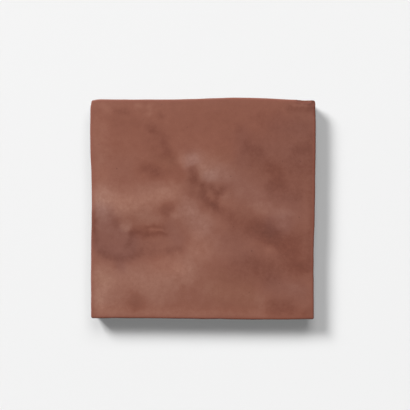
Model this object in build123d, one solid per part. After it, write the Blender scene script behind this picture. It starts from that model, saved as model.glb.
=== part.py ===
from build123d import *

import os
from math import cos, exp, radians, sin

# A hand-cut glazed wall tile: one piece of fired clay with a wavy face, wandering edges and sides that lean in.
# The origin is at the middle of the flat back. +Z points out through the glazed face, +X to the right
# and +Y up the tile as it is looked at. All sizes are in millimetres.

# Overall sizes
face_width = 101.0  # across X, between the face's plain left and right edges
face_length = 99.4  # along Y, between its plain top and bottom edges
thickness = 10.0  # from the back to the middle level of the glazed face

# Sides and edges
undercut = 1.3  # each side leans in by this much from the face to the back
arris_radius = 0.8  # the face's edge, rounded where the glaze runs over it
back_chamfer = 0.5  # the clay edge round the back, knocked off when the tile is cut
edge_droop = 0.35  # how far the face falls away at the middle of each edge

# Radius of each upright corner, and how far it strays outside the plain rectangle, across X and along Y
top_left_radius = 2.2
top_left_stray = (0.2, -0.2)
top_right_radius = 0.9
top_right_stray = (0.5, -0.5)
bottom_right_radius = 0.9
bottom_right_stray = (-0.5, 0.4)
bottom_left_radius = 1.1
bottom_left_stray = (0.3, -0.3)

# How each side wanders from the line between its corners, clockwise: share of the side, outward distance
top_wander = [(0.18, 0.0), (0.42, 0.15), (0.62, 1.0), (0.84, 0.25)]
right_wander = [(0.28, 0.2), (0.52, 0.2), (0.68, -0.25), (0.86, -0.05)]
bottom_wander = [(0.2, 0.1), (0.5, 0.05), (0.85, -0.1)]
left_wander = [(0.12, 0.0), (0.42, -0.55), (0.58, -0.5), (0.77, 0.2)]

# Hollows (-) and swells (+) left in the face by hand: the middle as shares of the half width and
# half length, the reach along and across, the turn in degrees and the height
hollows = [
    ((-0.60, -0.26), (25.0, 8.0), 6.0, -0.35),
    ((0.10, 0.09), (11.0, 5.0), -48.0, -0.30),
    ((0.53, -0.21), (20.0, 7.0), -24.0, -0.32),
    ((0.66, 0.30), (13.0, 11.0), 0.0, -0.20),
    ((-0.78, 0.06), (22.0, 8.0), 8.0, 0.28),
    ((-0.42, -0.62), (30.0, 9.0), 10.0, 0.25),
    ((-0.04, 0.40), (13.0, 8.0), 35.0, 0.26),
    ((0.68, -0.88), (18.0, 8.0), 12.0, -0.18),
]

# The shell-shaped chip in the top edge, by the top right corner
chip_length = 9.0  # along the edge
chip_depth = 1.2  # into the edge, as it was before it was rounded
chip_from_corner = 5.0  # its middle to the corner

# The face is fitted through a net of points that overhangs the outline, and cut from taller stock
net_steps = 20
net_overhang = 4.0
stock_spare = 2.0


def corners(inset):
    """The outline's four corners, clockwise from the top left, moved in by inset."""
    strays = [
        (-1, 1, top_left_stray),
        (1, 1, top_right_stray),
        (1, -1, bottom_right_stray),
        (-1, -1, bottom_left_stray),
    ]
    half_width = face_width / 2 - inset
    half_length = face_length / 2 - inset
    return [Vector(i * (half_width + x), j * (half_length + y)) for i, j, (x, y) in strays]


def wandering_side(start, end, wander):
    """One side from corner to corner, clockwise, so that outward is to its left."""
    along = end - start
    outward = Vector(-along.Y, along.X).normalized()
    return Spline(start, *[start + along * share + outward * out for share, out in wander], end)


def outline(height):
    """The tile's outline at a height: it leans in below the face, and out above it."""
    points = corners(undercut * (1 - height / thickness))
    wanders = [top_wander, right_wander, bottom_wander, left_wander]
    ends = points[1:] + points[:1]
    sides = [wandering_side(*side) for side in zip(points, ends, wanders)]
    return Pos(0, 0, height) * make_face(sides)


def relief(x, y):
    """How far the face stands above its middle level at a point."""
    height = -edge_droop * ((2 * x / face_width) ** 6 + (2 * y / face_length) ** 6)
    for (share_x, share_y), (along, across), turn, swell in hollows:
        away_x = x - share_x * face_width / 2
        away_y = y - share_y * face_length / 2
        angle = radians(turn)
        u = (away_x * cos(angle) + away_y * sin(angle)) / along
        v = (away_y * cos(angle) - away_x * sin(angle)) / across
        height += swell * exp(-u * u - v * v)
    return height


def glazed_surface():
    """The wavy face, as one surface that overhangs the outline all round."""
    shares = [2 * i / net_steps - 1 for i in range(net_steps + 1)]
    across = [share * (face_width / 2 + net_overhang) for share in shares]
    up = [share * (face_length / 2 + net_overhang) for share in shares]
    net = [[(x, y, thickness + relief(x, y)) for y in up] for x in across]
    return Face.make_surface_from_array_of_points(net, min_deg=3)


def rounded_stock():
    """The clay before its face is shaped: leaning sides with rounded upright corners."""
    stock = loft([outline(0), outline(thickness + stock_spare)], ruled=True)
    radii = [top_left_radius, top_right_radius, bottom_right_radius, bottom_left_radius]
    for point, radius in zip(corners(0), radii):
        upright = stock.edges().sort_by_distance(point + Vector(0, 0, thickness))[0]
        stock = fillet(upright, radius)
    return stock


def chip():
    """The ball that strikes the chip out of the top edge."""
    start, end = corners(0)[:2]
    along = (end - start).normalized()
    radius = (chip_length**2 / 4 + chip_depth**2) / (2 * chip_depth)
    outward = Vector(-along.Y, along.X, 1).normalized()
    edge = end - along * chip_from_corner
    edge += Vector(0, 0, thickness + relief(edge.X, edge.Y))
    return Pos(edge + outward * (radius - chip_depth)) * Sphere(radius)


def tile():
    body = rounded_stock() - extrude(glazed_surface(), stock_spare * 2, dir=(0, 0, 1))
    face = body.faces().sort_by(Axis.Z)[-1]
    body = fillet(face.edges(), arris_radius)
    back = body.faces().sort_by(Axis.Z)[0]
    body = chamfer(back.edges(), back_chamfer)
    return body - chip()


os.makedirs("parts", exist_ok=True)
export_step(tile(), "parts/tile.step")
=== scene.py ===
import bmesh
import bpy
import numpy as np
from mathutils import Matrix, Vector, noise


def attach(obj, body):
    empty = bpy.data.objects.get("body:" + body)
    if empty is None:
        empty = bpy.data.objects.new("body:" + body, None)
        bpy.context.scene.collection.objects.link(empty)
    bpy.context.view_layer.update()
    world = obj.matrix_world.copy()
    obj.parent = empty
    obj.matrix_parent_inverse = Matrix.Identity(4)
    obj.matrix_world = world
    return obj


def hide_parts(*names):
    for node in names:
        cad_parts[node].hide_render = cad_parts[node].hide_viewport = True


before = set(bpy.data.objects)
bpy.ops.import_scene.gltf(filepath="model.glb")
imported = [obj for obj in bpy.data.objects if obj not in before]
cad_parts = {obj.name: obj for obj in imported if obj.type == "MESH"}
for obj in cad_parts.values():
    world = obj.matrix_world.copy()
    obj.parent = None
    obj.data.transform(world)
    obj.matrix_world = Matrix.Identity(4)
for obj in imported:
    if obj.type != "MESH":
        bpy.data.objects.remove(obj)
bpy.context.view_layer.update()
mm = 0.001
print("frame loaded, nodes:", sorted(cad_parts))

# The tile: X to the right, Y up the face, Z out through the glaze, origin at the middle of the back
tile = {
    "width": 101.0 * mm,
    "length": 99.4 * mm,
    "thickness": 10.0 * mm,
    "edgeRound": 0.8 * mm,
    "edgeSegments": 5,
    "faceCuts": 196,
    "sideCuts": 13,
    "undercut": 1.3 * mm,  # each side leans in by this much from face to back
    "edgeDroop": 0.35 * mm,  # the face falls away by this much at the middle of each edge
    "droopPower": 6,  # the higher, the nearer to the edge it falls
    # How far each side strays out of the plain rectangle: share of the side, millimetres
    "topStray": [(0.0, -0.05), (0.22, -0.15), (0.42, -0.05), (0.64, 0.68),
                 (0.76, 0.45), (0.88, -0.15), (1.0, -0.50)],
    "bottomStray": [(0.0, -0.30), (0.15, -0.30), (0.5, 0.05), (0.85, 0.34), (1.0, 0.15)],
    "leftStray": [(0.0, 0.10), (0.1, 0.14), (0.4, 0.0), (0.52, -0.20),
                  (0.64, -0.06), (0.8, 0.52), (1.0, 0.40)],
    "rightStray": [(0.0, -0.35), (0.14, -0.43), (0.32, -0.43), (0.46, 0.05),
                   (0.64, 0.25), (0.78, 0.48), (1.0, 0.35)],
    "wornCorner": (-50.6, 49.4, 2.4, 0.62),  # the top left corner: x, y, reach and how far it is worn in, mm
}

# Hollows (-) and swells (+) pressed into the face by hand:
# middle as shares of the half width and length, reach along and across in mm, turn in degrees, height in mm
faceWaves = [
    ((-0.60, -0.26), (25.0, 8.0), 6.0, -0.35),
    ((0.10, 0.09), (11.0, 5.0), -48.0, -0.30),
    ((0.53, -0.21), (20.0, 7.0), -24.0, -0.32),
    ((0.66, 0.30), (13.0, 11.0), 0.0, -0.20),
    ((-0.78, 0.06), (22.0, 8.0), 8.0, 0.28),
    ((-0.42, -0.62), (30.0, 9.0), 10.0, 0.25),
    ((-0.04, 0.40), (13.0, 8.0), 35.0, 0.26),
    ((0.68, -0.88), (18.0, 8.0), 12.0, -0.18),
]

# Chips struck out of the face's edge: middle of the chip at the edge, which way is out, length and depth,
# all in mm, the depth from the edge as it was before it was rounded
edgeChips = [
    ((46.0, 49.2), (0.0, 1.0), 9.0, 1.20),
    ((50.2, 48.6), (0.7, 0.7), 4.6, 0.95),
    ((51.0, 45.4), (1.0, 0.0), 3.2, 0.62),
    ((-50.3, -8.0), (-1.0, 0.0), 3.0, 0.55),
]

# How rough the hand-made surfaces are; waves are counted in a metre
handMarks = {
    "faceFrom": 0.5,  # share of the thickness above which the face's waves are felt
    "faceRipple": (90.0, 0.07 * mm),  # waves, height
    "faceDimples": (260.0, 0.022 * mm),
    "edgeWobble": (130.0, 39.0, 0.11 * mm),  # waves round the tile, waves up the side, depth
    "sideDrag": (520.0, 55.0, 0.20 * mm),
    "sideDents": (170.0, 0.26 * mm),  # waves, depth
    "sidePits": (430.0, 0.25, 0.34 * mm),  # waves, the noise that leaves no pit, depth
    "backHollows": (70.0, 0.16 * mm),  # waves, depth
    "backGrain": (420.0, 0.05 * mm),
    "glazeSkirt": 2.6 * mm,  # how far the glaze runs down the sides
    "skirtWander": [(75.0, 1.5 * mm), (232.5, 0.75 * mm)],  # how its end wanders: waves, reach
    "skirtRagged": (675.0, 0.3 * mm),
    "glazeLip": 0.10 * mm,  # how far the glaze stands off the bare clay
    "lipRound": 0.3,  # the lip rounds off over this much above and below the glaze's end, mm
}
seedStep = 17.3  # how far apart two seeds' noises are


def noiseAt(points, scale, seed):
    # Perlin noise at each point; scale is one number or one for each axis
    spots = points * np.array(scale) + seed * seedStep
    return np.array([noise.noise(Vector(spot)) for spot in spots])


def smoothStep(low, high, values):
    share = np.clip((values - low) / (high - low), 0, 1)
    return share * share * (3 - 2 * share)


def lineThrough(stops, shares):
    # a smooth line through a side's few stops
    at, out = np.array(stops).T
    slope = np.gradient(out, at)
    i = np.clip(np.searchsorted(at, shares) - 1, 0, len(at) - 2)
    step = at[i + 1] - at[i]
    t = (shares - at[i]) / step
    ends = (2 * t**3 - 3 * t**2 + 1) * out[i] + (3 * t**2 - 2 * t**3) * out[i + 1]
    return ends + step * ((t**3 - 2 * t**2 + t) * slope[i] + (t**3 - t**2) * slope[i + 1])


def roundedBlock():
    bm = bmesh.new()
    bmesh.ops.create_cube(bm, size=1.0)
    bmesh.ops.translate(bm, verts=bm.verts, vec=(0, 0, 0.5))
    bmesh.ops.scale(bm, verts=bm.verts, vec=(tile["width"], tile["length"], tile["thickness"]))
    bmesh.ops.bevel(bm, geom=bm.edges[:], offset=tile["edgeRound"], offset_type='OFFSET', affect='EDGES',
                    segments=tile["edgeSegments"], profile=0.5, material=-1)
    longEdges = [e for e in bm.edges if e.calc_length() > tile["width"] / 2]
    bmesh.ops.subdivide_edges(bm, edges=longEdges, cuts=tile["faceCuts"], use_grid_fill=True)
    uprights = [e for e in bm.edges if abs(e.verts[0].co.z - e.verts[1].co.z) > tile["thickness"] / 2]
    bmesh.ops.subdivide_edges(bm, edges=uprights, cuts=tile["sideCuts"], use_grid_fill=True)
    for face in bm.faces:
        face.smooth = True
    mesh = bpy.data.meshes.new("glazed_tile")
    bm.to_mesh(mesh)
    bm.free()
    return mesh


def placesOf(mesh):
    places = np.empty(len(mesh.vertices) * 3)
    mesh.vertices.foreach_get("co", places)
    return places.reshape(-1, 3)


def insetsOf(block):
    # how far in from the plain sides
    return tile["width"] / 2 - abs(block[:, 0]), tile["length"] / 2 - abs(block[:, 1])


def reliefOf(x, y):
    # how far the face stands above its middle level
    power = tile["droopPower"]
    height = -tile["edgeDroop"] * ((2 * x / tile["width"])**power + (2 * y / tile["length"])**power)
    for (shareX, shareY), (along, across), turn, swell in faceWaves:
        awayX = x - shareX * tile["width"] / 2
        awayY = y - shareY * tile["length"] / 2
        angle = np.radians(turn)
        u = (awayX * np.cos(angle) + awayY * np.sin(angle)) / (along * mm)
        v = (awayY * np.cos(angle) - awayX * np.sin(angle)) / (across * mm)
        height = height + swell * mm * np.exp(-u * u - v * v)
    return height


def strayOutline(points, block):
    # the sides stray from the plain rectangle and lean in towards the back, and one corner is worn
    across = block[:, 0] / tile["width"] + 0.5
    up = block[:, 1] / tile["length"] + 0.5
    leanIn = tile["undercut"] * (1 - block[:, 2] / tile["thickness"])
    right = lineThrough(tile["rightStray"], up) * across
    left = lineThrough(tile["leftStray"], up) * (1 - across)
    top = lineThrough(tile["topStray"], across) * up
    bottom = lineThrough(tile["bottomStray"], across) * (1 - up)
    points[:, 0] += (right - left) * mm - leanIn * (2 * across - 1)
    points[:, 1] += (top - bottom) * mm - leanIn * (2 * up - 1)
    cornerX, cornerY, reach, worn = tile["wornCorner"]
    away = np.hypot(points[:, 0] - cornerX * mm, points[:, 1] - cornerY * mm) / (reach * mm)
    pull = worn * mm * np.exp(-away**2) / np.sqrt(2.0)
    points[:, 0] += pull
    points[:, 1] -= pull


def waveFace(points, block):
    share = smoothStep(handMarks["faceFrom"], 1.0, block[:, 2] / tile["thickness"])
    points[:, 2] += reliefOf(points[:, 0], points[:, 1]) * share
    scale, height = handMarks["faceRipple"]
    points[:, 2] += height * noiseAt(block, scale, seed=1) * share
    scale, height = handMarks["faceDimples"]
    points[:, 2] += height * noiseAt(block, scale, seed=2) * share


def coverOf(block):
    # how far above the glaze's wandering end a vertex is, in mm; below 0 the clay is bare
    skirtEnd = tile["thickness"] - handMarks["glazeSkirt"]
    for seed, (scale, reach) in enumerate(handMarks["skirtWander"], start=3):
        skirtEnd -= reach * noiseAt(block * (1, 1, 0), scale, seed)
    scale, reach = handMarks["skirtRagged"]
    skirtEnd -= reach * noiseAt(block, scale, seed=15)
    return (block[:, 2] - skirtEnd) / mm


def roughenSides(points, block, cover):
    # the cut sides, where the glaze runs down and stops in a soft lip
    insetX, insetY = insetsOf(block)
    share = smoothStep(tile["edgeRound"], 0.0, np.minimum(insetX, insetY))
    sideways = np.zeros_like(block)
    sideways[:, 0] = np.where(insetX < tile["edgeRound"], np.sign(block[:, 0]), 0)
    sideways[:, 1] = np.where(insetY < tile["edgeRound"], np.sign(block[:, 1]), 0)
    sideways /= np.maximum(np.linalg.norm(sideways, axis=1), 1)[:, None]
    bare = smoothStep(handMarks["lipRound"], -handMarks["lipRound"], cover)
    around, upward, depth = handMarks["edgeWobble"]
    outward = depth * noiseAt(block, (around, around, upward), seed=5)
    around, upward, depth = handMarks["sideDrag"]
    outward += depth * noiseAt(block, (around, around, upward), seed=6) * bare
    scale, depth = handMarks["sideDents"]
    outward += depth * noiseAt(block, scale, seed=7) * bare
    scale, noPit, depth = handMarks["sidePits"]
    outward -= depth * np.maximum(noiseAt(block, scale, seed=10) - noPit, 0) * bare
    outward -= handMarks["glazeLip"] * bare
    points += sideways * (outward * share)[:, None]


def hollowBack(points, block):
    # only hollows, so that the back's high spots stay on the floor
    share = smoothStep(tile["edgeRound"], 0.0, block[:, 2])
    scale, depth = handMarks["backHollows"]
    hollow = depth * np.maximum(noiseAt(block, scale, seed=8), 0)
    scale, depth = handMarks["backGrain"]
    hollow += depth * np.maximum(noiseAt(block, scale, seed=9), 0)
    points[:, 2] += hollow * share


def strikeChips(points):
    # a vertex inside the ball that strikes a chip is pushed back to the ball's surface
    struck = np.zeros(len(points))
    for (x, y), (outX, outY), length, depth in edgeChips:
        radius = (length**2 / 4 + depth**2) / (2 * depth) * mm
        outward = np.array([outX, outY, 1.0]) / np.sqrt(2.0)
        edge = np.array([x * mm, y * mm, tile["thickness"] + reliefOf(x * mm, y * mm)])
        away = points - (edge + outward * (radius - depth * mm))
        distance = np.linalg.norm(away, axis=1)
        inside = distance < radius
        points[inside] += away[inside] * (radius / distance[inside] - 1)[:, None]
        struck[inside] = radius - distance[inside]
    return struck


# The fired glaze's light (+) and dark (-) strokes, partly its own tone and partly painted shade and painted
# sheen over the face's hollows and swells: path over the face in mm, half width in mm, amount
toneAndShadingStrokes = [
    # pale bands
    ([(-49, 6), (-43, 7)], 4.0, 0.30),
    ([(-46, 2.5), (-34, 4), (-24, 6), (-15, 7)], 5.0, 0.50),
    ([(-38, 0), (-26, 0.5)], 4.0, 0.28),
    ([(-46, -2)], 3.5, 0.30),
    ([(-46, 2)], 4.0, 0.15),
    ([(-17, 6.5)], 3.6, 0.12),
    ([(-21, 2.5)], 2.0, 0.18),
    ([(-33, -8)], 1.8, 0.20),
    ([(-12, -3)], 2.2, 0.35),
    ([(-5, 2)], 4.0, 0.15),
    ([(-46, 36), (-46, 10)], 4.5, 0.18),
    ([(-47, -30), (-44, -35)], 4.5, 0.48),
    ([(-47, -39), (-46, -43)], 3.5, 0.35),
    ([(-38, -30), (-26, -33), (-14, -32), (-8, -28)], 6.0, 0.42),
    ([(-22, -25), (-12, -25)], 4.0, 0.20),
    ([(-46, -43), (-20, -41)], 5.0, 0.28),
    ([(-45, -47.5), (28, -47.5)], 2.5, 0.25),
    ([(-7, 0.5), (-3, -5), (0, -7)], 4.4, 0.48),
    ([(-3, -18), (4, -20)], 4.0, 0.20),
    ([(-2, -12)], 3.0, 0.28),
    ([(4, -15), (-3, -22), (-6.5, -28)], 3.4, 0.14),
    ([(-7.5, 21.5), (-4, 21.5)], 3.4, 0.58),
    ([(-2, 23.5), (4, 21)], 4.5, 0.22),
    ([(1, 16.5), (3.5, 15)], 3.4, 0.60),
    ([(8, 17), (12, 15)], 4.0, 0.28),
    ([(16, 8), (24, 7)], 5.0, 0.08),
    ([(26, 0), (36, -2)], 4.0, 0.28),
    ([(4, -36), (28, -41)], 4.5, 0.16),
    ([(30.5, -18.5)], 2.2, 0.42),
    ([(36, -8)], 3.0, 0.25),
    ([(-35, -8.5)], 3.0, 0.42),
    ([(-46, -8), (-42, -8)], 3.5, 0.15),
    ([(-28, -5), (-20, -5)], 2.6, 0.20),
    # the long dark streak, its hook and its fork
    ([(-4.6, 16.6), (-4.4, 14)], 2.4, -0.60),
    ([(-5, 11.5), (-5.5, 7)], 2.0, -0.28),
    ([(-0.6, 10.4), (-0.4, 6), (1.8, 3), (5, 0.8)], 1.9, -0.62),
    ([(-2.5, 4), (-1, 1)], 2.6, -0.25),
    ([(3.4, 9.4), (5.6, 7.8), (7.4, 7.8), (9, 8.6)], 1.7, -0.52),
    ([(10, 9.2), (13, 11)], 1.8, -0.08),
    ([(6, 7), (6.3, 3)], 1.4, -0.40),
    ([(9.2, 4.6)], 1.8, 0.20),
    ([(5, 0.5), (8.5, -2.2), (12, -3.8)], 2.8, -0.40),
    ([(15.5, -7.2), (21, -9.6)], 3.8, -0.40),
    ([(13, -12), (17, -14)], 3.5, -0.20),
    ([(18, -3), (23, -5)], 3.0, -0.18),
    ([(25, -8.8), (31, -11.2)], 4.8, -0.55),
    ([(29, -13), (34, -16)], 4.0, -0.40),
    ([(35, -14.5), (40, -17)], 4.0, -0.14),
    ([(40, -15), (43, -25)], 6.0, -0.40),
    ([(44, -13)], 4.0, -0.20),
    # the dark brow with its pale split, the curve under it and the spot by the bottom edge
    ([(-33.6, -16), (-32.6, -12.5)], 1.8, -0.30),
    ([(-31.5, -10.4), (-27.5, -10.6)], 2.2, -0.55),
    ([(-25, -8.2), (-17.4, -8)], 1.4, -0.44),
    ([(-25, -11.3), (-17.6, -11.2)], 1.5, -0.52),
    ([(-24, -9.7), (-17.5, -9.6)], 0.8, 0.40),
    ([(-16.4, 1.6), (-16.6, -0.6)], 3.0, -0.46),
    ([(-46, -19.5), (-40, -22.4), (-34, -22.6), (-28, -20)], 2.2, -0.45),
    ([(-24, -19.8), (-17, -19.4)], 2.0, -0.18),
    ([(-15, -18.6), (-9.8, -18.2)], 1.7, -0.38),
    ([(-50.2, -2), (-50, -9)], 1.6, -0.55),
    ([(-50, -9), (-49.6, -15)], 2.6, -0.45),
    ([(-39.5, -6.8)], 2.2, -0.34),
    ([(-30, -17), (-24, -19.5)], 4.0, -0.26),
    ([(-38, -26.5)], 4.0, -0.28),
    ([(-24, -13.5), (-18, -14)], 4.0, -0.14),
    ([(-45, -17), (-36, -18)], 4.0, -0.12),
    ([(-30, -42)], 4.2, -0.62),
    # the creased upper left
    ([(-24, 37), (-23, 36)], 2.0, -0.40),
    ([(-40, 39), (-30, 38.5)], 3.0, -0.16),
    ([(-20.5, 35), (-17, 32.5)], 2.6, -0.34),
    ([(-24, 31), (-18, 24)], 4.0, -0.22),
    ([(-17, 29.5), (-16, 26.5)], 2.2, -0.40),
    ([(-15.5, 24), (-13.5, 21)], 2.4, -0.20),
    ([(-26, 18.2), (-22, 17.5)], 3.0, -0.48),
    ([(-20, 16), (-12, 16.5)], 3.0, -0.22),
    ([(-38.5, 44.4), (-34.5, 43.8)], 1.7, -0.34),
    ([(-18.6, 42.2)], 1.6, -0.28),
    ([(-29, 46.4)], 1.8, 0.28),
    ([(-23.6, 42.8), (-24, 46)], 1.4, 0.22),
    ([(-43.5, 46.4)], 2.4, 0.20),
    # the duller right half
    ([(45.5, 28), (42, 27.5)], 2.8, -0.45),
    ([(20.5, 27.5), (25, 25)], 3.2, -0.32),
    ([(24, 20), (28, 13)], 5.0, -0.18),
    ([(20, 26), (44, 21)], 8.5, -0.22),
    ([(31, 18.5), (33.5, 16)], 3.2, -0.42),
    ([(31.5, 10.8), (35, 11)], 2.8, -0.42),
    ([(42, 20), (43, 8)], 5.0, -0.24),
    ([(31, 7), (41, 6)], 4.5, -0.32),
    ([(36, 14)], 6.0, -0.12),
    ([(-5, 42), (45, 42)], 10.0, -0.10),
    ([(30, 38), (46, 37)], 6.0, -0.22),
    ([(16, 35.5)], 2.2, -0.16),
    ([(26, 42.4)], 2.2, -0.16),
    ([(22.5, 36)], 2.4, 0.12),
    ([(8, 30), (12, 40)], 9.0, -0.06),
    ([(22, -27), (38, -24)], 7.0, -0.30),
    ([(24, -24), (30, -30)], 5.0, -0.30),
    ([(45.5, -26)], 3.2, -0.35),
    ([(14, -27)], 5.0, -0.12),
    ([(12, -30), (15, -45)], 9.0, -0.15),
    ([(26, -13)], 4.0, -0.10),
    ([(40, -36)], 5.0, 0.12),
    ([(32, -43.6), (39, -44.5)], 3.6, -0.52),
    ([(48, -47)], 3.0, -0.35),
    # round the chip, with painted shade on its facets and a painted highlight under it, and down the right
    # edge
    ([(42.5, 48.4), (50, 48.2)], 1.1, -0.80),
    ([(45.5, 48.1), (50, 47.9)], 1.4, -0.75),
    ([(38.5, 45.2), (46, 45), (50, 44.8)], 1.4, -0.42),
    # painted highlight under the chip
    ([(41, 46.3), (45, 46.3)], 0.9, 0.25),
    ([(50.0, 46), (50.2, 43.5)], 1.1, -0.70),
    ([(48, 45), (50, 44.8)], 1.2, -0.35),
    ([(49, 32), (49.5, -26)], 2.2, -0.35),
]

# Where the glaze turns to plum (+) or to cream and olive (-)
plumStrokes = [
    ([(-46, -10), (-36, -14.5)], 6.5, 1.15),
    ([(-47, -4), (-44, -14), (-37, -16)], 7.0, 1.20),
    ([(-14, -9), (-11, -14)], 4.0, 0.50),
    ([(31, -7), (36, -7)], 4.5, 1.30),
    ([(17, 32), (17, 22)], 4.0, 0.40),
    ([(34, 38), (46, 37)], 5.0, 0.50),
    ([(-7, 20.5), (-4, 22)], 3.6, 0.90),
    ([(-7, 1), (-3, -6), (0, -8)], 5.0, 0.55),
    ([(10, 15), (20, 8), (40, 0)], 7.0, 0.55),
    ([(32, -34), (44, -37)], 5.0, 0.60),
    ([(10, -16), (18, -20)], 6.0, 0.40),
    ([(-37, -26)], 3.0, 0.60),
    ([(20, 30), (44, 25)], 7.0, 0.35),
    ([(-6, 25)], 4.0, 0.40),
    ([(-45, -32)], 4.5, -0.40),
    ([(-36, -9.8)], 3.0, -0.50),
    ([(2.5, 14.5)], 4.0, 0.60),
    ([(-18, 22), (-12, 21)], 4.0, -0.40),
    ([(8, -36), (20, -39)], 7.0, -0.50),
    ([(10, 24)], 5.0, -0.40),
]

# Where the glaze is at its warmest
warmStrokes = [
    ([(-44, 42), (10, 40), (28, 44)], 14.0, 1.00),
    ([(-40, 28), (-18, 30), (14, 32)], 10.0, 0.60),
    ([(-26, 17), (-12, 16)], 5.0, 1.00),
    ([(-44, 14), (-34, 12)], 5.0, 0.40),
    ([(-47, 16)], 5.0, 0.50),
    ([(-38, 3), (-14, 5)], 6.0, 0.60),
    ([(-4, -15), (0, -19)], 5.0, 0.40),
    ([(-6, 3), (-2, -8)], 4.5, 0.25),
    ([(30, -3), (37, -5)], 4.5, 0.25),
    ([(28, -14), (36, -16)], 4.0, 0.60),
    ([(-24, 35), (-16, 27)], 4.0, 0.60),
    ([(-20, -25), (-12, -26)], 4.5, 0.70),
    ([(3, 4), (12, -5), (22, -9)], 3.5, 0.35),
    ([(-30, -10.5), (-20, -10)], 3.5, 0.70),
    ([(32, 17), (33, 11)], 4.5, 0.50),
    ([(41, -18), (44, -26)], 5.5, 0.60),
    ([(-46, -46), (46, -47)], 3.0, 0.60),
]

# How the glaze lies on the tile
glazeMarks = {
    "feather": [(150.0, 0.9), (360.0, 0.7), (800.0, 0.5)],  # bends the strokes: waves in a metre, reach in mm
    "strokeFall": 2.2,  # how sharply a stroke ends
    "faceCover": 3.0,  # the cover of the whole face, mm above the glaze's end
    "edgeLineReach": (2.2 * mm, 0.3 * mm),  # in from the edge: where the edge colour starts to show, and where it is at full strength
    "chipShadeDepth": 0.45 * mm,  # a chip this deep gets the full painted shade of its facets
}


def featheredSpots(block):
    # each vertex's place on the face in mm, bent by noise so that the strokes have feathered edges
    spots = block[:, :2] / mm
    for scale, reach in glazeMarks["feather"]:
        bend = [noiseAt(block, scale, seed=11), noiseAt(block, scale, seed=12)]
        spots = spots + reach * np.stack(bend, axis=1)
    return spots


def strokesAt(spots, strokes):
    # the strokes' sum at each spot
    total = np.zeros(len(spots))
    for path, halfWidth, amount in strokes:
        stops = np.array(path, dtype=float)
        nearest = np.linalg.norm(spots - stops[0], axis=1)
        for start, end in zip(stops[:-1], stops[1:]):
            along = end - start
            share = np.clip((spots - start) @ along / (along @ along), 0, 1)
            nearest = np.minimum(nearest, np.linalg.norm(spots - start - share[:, None] * along, axis=1))
        total += amount * np.exp(-(nearest / halfWidth)**glazeMarks["strokeFall"])
    return total


def keepOnMesh(mesh, name, values):
    mesh.attributes.new(name, 'FLOAT', 'POINT').data.foreach_set("value", values.astype(np.float32))


def markGlazeAndShading(mesh, block, cover, struck):
    level = block[:, 2] / tile["thickness"]
    rim = tile["edgeRound"] / tile["thickness"]
    keepOnMesh(mesh, "glazeCover", np.where(level > 1 - rim, glazeMarks["faceCover"], cover))
    thins, thinnest = glazeMarks["edgeLineReach"]
    keepOnMesh(mesh, "edgeLine", smoothStep(thins, thinnest, np.minimum(*insetsOf(block))))
    # how deep each vertex lies in a chip, which sets the painted shade there
    keepOnMesh(mesh, "chipShade", np.minimum(struck / glazeMarks["chipShadeDepth"], 1))
    spots = featheredSpots(block)
    # the glaze's tone together with painted shade and painted sheen of the face's hollows and swells
    keepOnMesh(mesh, "glazeToneAndShading", strokesAt(spots, toneAndShadingStrokes))
    keepOnMesh(mesh, "glazePlum", strokesAt(spots, plumStrokes))
    keepOnMesh(mesh, "glazeWarmth", strokesAt(spots, warmStrokes))


def shapeTile(mesh):
    block = placesOf(mesh)  # where each vertex is in the plain block
    cover = coverOf(block)
    points = block.copy()
    strayOutline(points, block)
    waveFace(points, block)
    roughenSides(points, block, cover)
    hollowBack(points, block)
    struck = strikeChips(points)
    mesh.vertices.foreach_set("co", points.ravel())
    markGlazeAndShading(mesh, block, cover, struck)
    mesh.update()


# Colours as they look on the tile (sRGB 0 to 255); a scale is waves or cells in a metre
glaze = {
    # from the darkest to the palest: place on the scale, colour
    "tones": [(0.0, (101, 55, 41)), (0.28, (116, 67, 52)), (0.5, (131, 82, 66)),
              (0.75, (148, 103, 87)), (1.0, (165, 123, 105))],
    "toneReach": 1.29,  # the strokes' sum that gives the palest or the darkest glaze
    # breaks up the strokes
    "wisps": {"scale": 620.0, "detail": 5.0, "roughness": 0.65, "low": 0.25, "high": 0.75, "strength": 0.45},
    # lightens and darkens the whole glaze
    "cloud": {"scale": 330.0, "detail": 7.0, "roughness": 0.65, "low": 0.2, "high": 0.8, "strength": 0.17},
    "grain": {"scale": 1500.0, "detail": 3.0, "roughness": 0.6, "low": 0.2, "high": 0.8, "strength": 0.09},
    "plumTint": (244, 246, 255),
    "creamTint": (252, 255, 246),
    "warmTint": (255, 246, 240),
    "edge": (130, 72, 57),
    "edgeStrength": 0.55,
    # painted shade on the chip's facets
    "chip": (108, 60, 46),
    "speck": (84, 46, 38),
    "specks": {"scale": 270.0, "bareCells": 0.55, "size": 0.13, "strength": 0.5},  # most cells stay bare
    "gloss": {"low": 0.25, "high": 0.75, "smooth": 0.48, "rough": 0.66},  # follows the cloud
    "peel": {"scale": 420.0, "detail": 2.0, "roughness": 0.55, "height": 0.06},
    "pinholes": {"scale": 190.0, "floor": 0.05, "rim": 0.11, "depth": 0.08},
    "skirtEdge": 0.12,  # the glaze turns to clay over this much above and below its end, mm
}
clay = {
    "tones": [(0.3, (138, 84, 62)), (0.5, (163, 106, 80)), (0.72, (186, 132, 104))],
    "cloud": {"scale": 70.0, "detail": 6.0, "roughness": 0.65},
    "speck": (104, 62, 48),
    "grog": {"scale": 620.0, "rim": 0.22, "middle": 0.08, "strength": 0.55, "height": -0.5},
    "sand": {"scale": 900.0, "detail": 6.0, "roughness": 0.7},
    "roughness": 0.88,
}
surface = {
    "specular": 0.33,
    "ior": 1.5,
    "bumpStrength": 0.7,
    "bumpHeight": 0.35 * mm,
}


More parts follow.
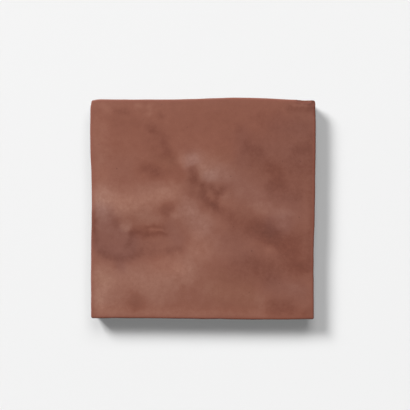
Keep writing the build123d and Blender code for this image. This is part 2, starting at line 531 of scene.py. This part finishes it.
def linear(colour):
    shares = np.array(colour) / 255
    light = np.where(shares < 0.04045, shares / 12.92, ((shares + 0.055) / 1.055)**2.4)
    return (*light, 1.0)


def addNode(tree, kind, values=None, **settings):
    node = tree.nodes.new(kind)
    for name, setting in settings.items():
        setattr(node, name, setting)
    for socket, value in (values or {}).items():
        if isinstance(value, bpy.types.NodeSocket):
            tree.links.new(value, node.inputs[socket])
        else:
            node.inputs[socket].default_value = value
    return node


def maths(tree, operation, first, second=0.0, third=0.0):
    return addNode(tree, 'ShaderNodeMath', {0: first, 1: second, 2: third}, operation=operation).outputs[0]


def spread(tree, value, low, high, newLow=0.0, newHigh=1.0):
    node = addNode(tree, 'ShaderNodeMapRange', {0: value, 1: low, 2: high, 3: newLow, 4: newHigh})
    return node.outputs[0]


def blendColours(tree, share, first, second, blend='MIX'):
    node = addNode(tree, 'ShaderNodeMix', {0: share, 6: first, 7: second}, data_type='RGBA', blend_type=blend)
    return node.outputs[2]


def blendValues(tree, share, first, second):
    return addNode(tree, 'ShaderNodeMix', {0: share, 2: first, 3: second}, data_type='FLOAT').outputs[0]


def attributeOf(tree, name):
    return addNode(tree, 'ShaderNodeAttribute', attribute_name=name).outputs["Fac"]


def noiseOf(tree, coords, look):
    node = addNode(tree, 'ShaderNodeTexNoise', {
        "Vector": coords, "Scale": look["scale"], "Detail": look["detail"], "Roughness": look["roughness"]})
    return node.outputs["Fac"]


def cellsOf(tree, coords, look):
    return addNode(tree, 'ShaderNodeTexVoronoi', {"Vector": coords, "Scale": look["scale"]}).outputs


def rampOf(tree, value, tones):
    node = addNode(tree, 'ShaderNodeValToRGB', {"Fac": value})
    elements = node.color_ramp.elements
    stops = [(place, linear(colour)) for place, colour in tones]
    elements[0].position, elements[0].color = stops[0]
    elements[1].position, elements[1].color = stops[-1]
    for place, colour in stops[1:-1]:
        elements.new(place).color = colour
    return node.outputs["Color"]


def glazeToneAndShading(tree, coords, cloud):
    # the strokes with their painted shade and sheen, broken up by wisps, with cloud and grain over everything
    look = glaze["wisps"]
    wisps = spread(tree, noiseOf(tree, coords, look), look["low"], look["high"],
                   1 - look["strength"], 1 + look["strength"])
    tone = maths(tree, 'MULTIPLY', attributeOf(tree, "glazeToneAndShading"), wisps)
    for value, look in ((cloud, glaze["cloud"]), (noiseOf(tree, coords, glaze["grain"]), glaze["grain"])):
        change = spread(tree, value, look["low"], look["high"], -look["strength"], look["strength"])
        tone = maths(tree, 'ADD', tone, change)
    return spread(tree, tone, -glaze["toneReach"], glaze["toneReach"])


def glazeColour(tree, coords, cloud):
    colour = rampOf(tree, glazeToneAndShading(tree, coords, cloud), glaze["tones"])
    plum = attributeOf(tree, "glazePlum")
    warm = attributeOf(tree, "glazeWarmth")
    tints = [(plum, 1.0, "plumTint"), (plum, -1.0, "creamTint"), (warm, 1.0, "warmTint")]
    for value, full, tint in tints:
        share = spread(tree, value, 0.0, full)
        colour = blendColours(tree, share, colour, linear(glaze[tint]), 'MULTIPLY')
    edge = maths(tree, 'MULTIPLY', attributeOf(tree, "edgeLine"), glaze["edgeStrength"])
    colour = blendColours(tree, edge, colour, linear(glaze["edge"]))
    # painted shade over the chip's facets
    colour = blendColours(tree, attributeOf(tree, "chipShade"), colour, linear(glaze["chip"]))
    look = glaze["specks"]
    cells = cellsOf(tree, coords, look)
    size = spread(tree, cells["Color"], look["bareCells"], 1.0, 0.0, look["size"])
    speck = maths(tree, 'LESS_THAN', cells["Distance"], size)
    speck = maths(tree, 'MULTIPLY', speck, look["strength"])
    return blendColours(tree, speck, colour, linear(glaze["speck"]))


def glazeHeight(tree, coords):
    # almost smooth, with fine orange peel and a few pinholes
    look = glaze["pinholes"]
    pit = spread(tree, cellsOf(tree, coords, look)["Distance"], look["floor"], look["rim"], -1.0, 0.0)
    pits = maths(tree, 'MULTIPLY', pit, look["depth"])
    return maths(tree, 'MULTIPLY_ADD', noiseOf(tree, coords, glaze["peel"]), glaze["peel"]["height"], pits)


def clayColour(tree, coords, grog):
    look = clay["grog"]
    colour = rampOf(tree, noiseOf(tree, coords, clay["cloud"]), clay["tones"])
    specks = spread(tree, grog, look["rim"], look["middle"], 0.0, look["strength"])
    return blendColours(tree, specks, colour, linear(clay["speck"]))


def clayHeight(tree, coords, grog):
    return maths(tree, 'MULTIPLY_ADD', grog, clay["grog"]["height"], noiseOf(tree, coords, clay["sand"]))


def tileMaterial():
    # one material for the whole tile: glaze over its face and skirt, bare clay below
    material = bpy.data.materials.new("glazed_clay")
    material.use_nodes = True
    tree = material.node_tree
    tree.nodes.clear()
    coords = addNode(tree, 'ShaderNodeTexCoord').outputs["Object"]
    cloud = noiseOf(tree, coords, glaze["cloud"])
    grog = cellsOf(tree, coords, clay["grog"])["Distance"]
    covered = spread(tree, attributeOf(tree, "glazeCover"), -glaze["skirtEdge"], glaze["skirtEdge"])
    colour = blendColours(tree, covered, clayColour(tree, coords, grog), glazeColour(tree, coords, cloud))
    gloss = glaze["gloss"]
    glazeRough = spread(tree, cloud, gloss["low"], gloss["high"], gloss["smooth"], gloss["rough"])
    height = blendValues(tree, covered, clayHeight(tree, coords, grog), glazeHeight(tree, coords))
    bump = addNode(tree, 'ShaderNodeBump', {
        "Strength": surface["bumpStrength"], "Distance": surface["bumpHeight"], "Height": height})
    shader = addNode(tree, 'ShaderNodeBsdfPrincipled', {
        "Base Color": colour,
        "Roughness": blendValues(tree, covered, clay["roughness"], glazeRough),
        "Normal": bump.outputs["Normal"],
        "Specular IOR Level": surface["specular"],
        "IOR": surface["ior"],
    })
    addNode(tree, 'ShaderNodeOutputMaterial', {"Surface": shader.outputs["BSDF"]})
    return material


tileMesh = roundedBlock()
shapeTile(tileMesh)
print("tile shaped:", len(tileMesh.vertices), "vertices,", len(tileMesh.polygons), "faces")
tileMesh.materials.append(tileMaterial())
glazedTile = bpy.data.objects.new("glazed_tile", tileMesh)
bpy.context.scene.collection.objects.link(glazedTile)
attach(glazedTile, "root")
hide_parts("tile")
glazedTile.visible_diffuse = False  # the lit clay throws no red onto the floor
print("glaze and clay ready")

# The studio: a pale floor, a soft key from the upper left, a weaker light beyond the tile's top edge and an
# overhead fill that is kept out of the glaze's reflections
studio = {
    "floorSize": 12.0,
    "floorColour": (0.80, 0.80, 0.80, 1.0),
    "floorRoughness": 0.9,
    "floorSpecular": 0.1,
    "fill": (1.0, 1.0, 1.0, 1.0),
    "fillStrength": 0.08,
    "lights": [
        # name, place, size, watts, shows in reflections
        ("key", (-7.9, 8.2, 8.6), 4.7, 2130.0, True),
        ("top", (1.3, 7.2, 8.6), 6.8, 545.0, True),
        ("overhead", (0.0, 4.3, 9.0), 10.8, 198.0, False),
    ],
}


def makeFloor():
    bm = bmesh.new()
    bmesh.ops.create_grid(bm, x_segments=1, y_segments=1, size=studio["floorSize"] / 2)
    mesh = bpy.data.meshes.new("studio_floor")
    bm.to_mesh(mesh)
    bm.free()
    material = bpy.data.materials.new("pale_floor")
    material.use_nodes = True
    shader = material.node_tree.nodes["Principled BSDF"]
    shader.inputs["Base Color"].default_value = studio["floorColour"]
    shader.inputs["Roughness"].default_value = studio["floorRoughness"]
    shader.inputs["Specular IOR Level"].default_value = studio["floorSpecular"]
    mesh.materials.append(material)
    floor = bpy.data.objects.new("studio_floor", mesh)
    bpy.context.scene.collection.objects.link(floor)


def makeLights():
    for name, place, size, watts, glossy in studio["lights"]:
        data = bpy.data.lights.new(name, 'AREA')
        data.size = size
        data.energy = watts
        light = bpy.data.objects.new(name, data)
        light.location = place
        light.visible_glossy = glossy
        light.rotation_euler = (-Vector(place)).to_track_quat('-Z', 'Y').to_euler()
        bpy.context.scene.collection.objects.link(light)
    world = bpy.data.worlds.new("studio_fill")
    world.use_nodes = True
    background = world.node_tree.nodes["Background"]
    background.inputs["Color"].default_value = studio["fill"]
    background.inputs["Strength"].default_value = studio["fillStrength"]
    bpy.context.scene.world = world


# The camera looks straight down
camera = {
    "lens": 200.0,
    "sensor": 36.0,
    "frame": 410,  # pixels a side
    "tilePixels": 224.0,  # how wide the tile is in the frame
    "tileAt": (203.0, 209.0),  # where its middle is, from the frame's top left
}


def makeCamera():
    data = bpy.data.cameras.new("camera")
    data.lens = camera["lens"]
    data.sensor_width = camera["sensor"]
    pixel = tile["width"] / camera["tilePixels"]
    distance = pixel * camera["frame"] * camera["lens"] / camera["sensor"]
    middle = camera["frame"] / 2
    atX, atY = camera["tileAt"]
    eye = bpy.data.objects.new("camera", data)
    eye.location = ((middle - atX) * pixel, (atY - middle) * pixel, tile["thickness"] + distance)
    bpy.context.scene.collection.objects.link(eye)
    bpy.context.scene.camera = eye


makeFloor()
makeLights()
makeCamera()
bpy.context.scene.view_settings.view_transform = 'Standard'
print("studio ready")
